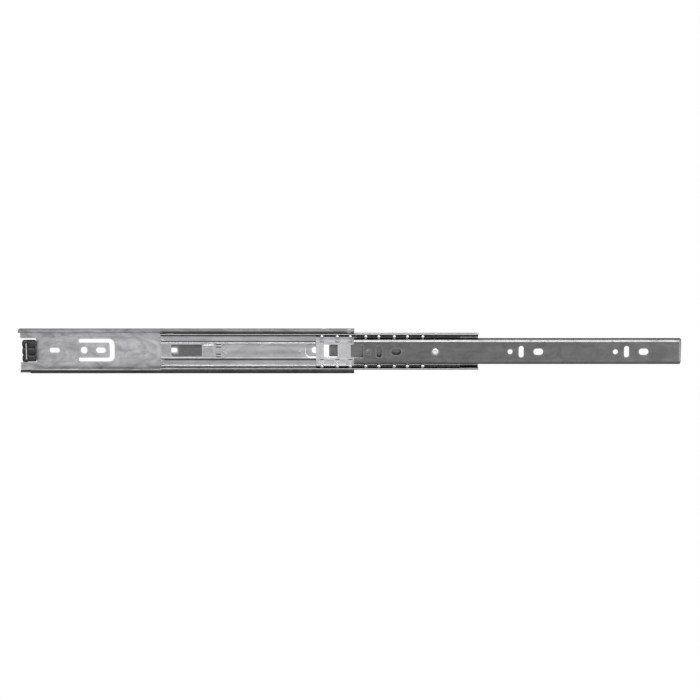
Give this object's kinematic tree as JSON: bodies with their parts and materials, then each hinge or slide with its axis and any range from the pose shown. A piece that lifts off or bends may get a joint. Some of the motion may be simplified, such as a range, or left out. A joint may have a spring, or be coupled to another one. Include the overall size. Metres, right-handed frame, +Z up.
{
  "type": "ball-bearing drawer slide",
  "caption": "Full-extension side-mount drawer slide with nested steel rails, ball cages, rubber rear bumper and release lever.",
  "frame": {"origin": "the middle of the outer rail's back face, half way along its length and height, on the cabinet wall plane", "axes": "+X along the slide towards the drawer front, +Y into the cabinet wall, +Z up; drawn fully extended"},
  "size_m": [0.6904, 0.0127, 0.0466],
  "materials": {
    "outer_zinc": "bright zinc plated sheet",
    "middle_zinc": "bright zinc plated sheet, rolled",
    "inner_zinc": "grey zinc plated sheet",
    "cage_zinc": "light satin zinc",
    "dark_steel": "plain oiled steel strip",
    "ball_steel": "polished",
    "rivet_steel": "bright",
    "black_rubber": "moulded, slightly glossy",
    "black_plastic": "moulded"
  },
  "bodies": {
    "cabinet_side": {"outer_rail": "outer_zinc", "rear_bumper": "black_rubber"},
    "outer_cage": {"outer_ball_cage": "dark_steel", "outer_ball_upper_1": "ball_steel", "outer_ball_upper_2": "ball_steel", "outer_ball_upper_3": "ball_steel", "outer_ball_upper_4": "ball_steel", "outer_ball_upper_5": "ball_steel", "outer_ball_upper_6": "ball_steel", "outer_ball_upper_7": "ball_steel", "outer_ball_upper_8": "ball_steel", "outer_ball_upper_9": "ball_steel", "outer_ball_lower_1": "ball_steel", "outer_ball_lower_2": "ball_steel", "outer_ball_lower_3": "ball_steel", "outer_ball_lower_4": "ball_steel", "outer_ball_lower_5": "ball_steel", "outer_ball_lower_6": "ball_steel", "outer_ball_lower_7": "ball_steel", "outer_ball_lower_8": "ball_steel", "outer_ball_lower_9": "ball_steel"},
    "middle": {"middle_rail": "middle_zinc"},
    "inner_cage": {"inner_ball_cage": "cage_zinc", "inner_ball_upper_1": "ball_steel", "inner_ball_upper_2": "ball_steel", "inner_ball_upper_3": "ball_steel", "inner_ball_upper_4": "ball_steel", "inner_ball_upper_5": "ball_steel", "inner_ball_upper_6": "ball_steel", "inner_ball_upper_7": "ball_steel", "inner_ball_upper_8": "ball_steel", "inner_ball_lower_1": "ball_steel", "inner_ball_lower_2": "ball_steel", "inner_ball_lower_3": "ball_steel", "inner_ball_lower_4": "ball_steel", "inner_ball_lower_5": "ball_steel", "inner_ball_lower_6": "ball_steel", "inner_ball_lower_7": "ball_steel", "inner_ball_lower_8": "ball_steel"},
    "drawer_side": {"inner_rail": "inner_zinc", "lever_rivet": "rivet_steel"},
    "lever": {"release_lever": "black_plastic"}
  },
  "joints": [
    {"name": "middle_slide", "type": "slide", "parent": "cabinet_side", "child": "middle", "axis": [1, 0, 0], "range_m": [-0.1296, 0]},
    {"name": "outer_cage_slide", "type": "slide", "parent": "cabinet_side", "child": "outer_cage", "axis": [1, 0, 0], "range_m": [-0.065, 0]},
    {"name": "inner_slide", "type": "slide", "parent": "middle", "child": "drawer_side", "axis": [1, 0, 0], "range_m": [-0.2108, 0]},
    {"name": "inner_cage_slide", "type": "slide", "parent": "middle", "child": "inner_cage", "axis": [1, 0, 0], "range_m": [-0.1055, 0]},
    {"name": "lever_hinge", "type": "hinge", "parent": "drawer_side", "child": "lever", "pos_m": [0.2594, -0.0095, 0], "axis": [0, -1, 0], "range_deg": [-4, 4], "stiffness_Nm_per_rad": 0.05}
  ],
  "couplings": [
    {"joint": "outer_cage_slide", "follows": "middle_slide", "ratio": 0.5},
    {"joint": "inner_cage_slide", "follows": "inner_slide", "ratio": 0.5}
  ]
}
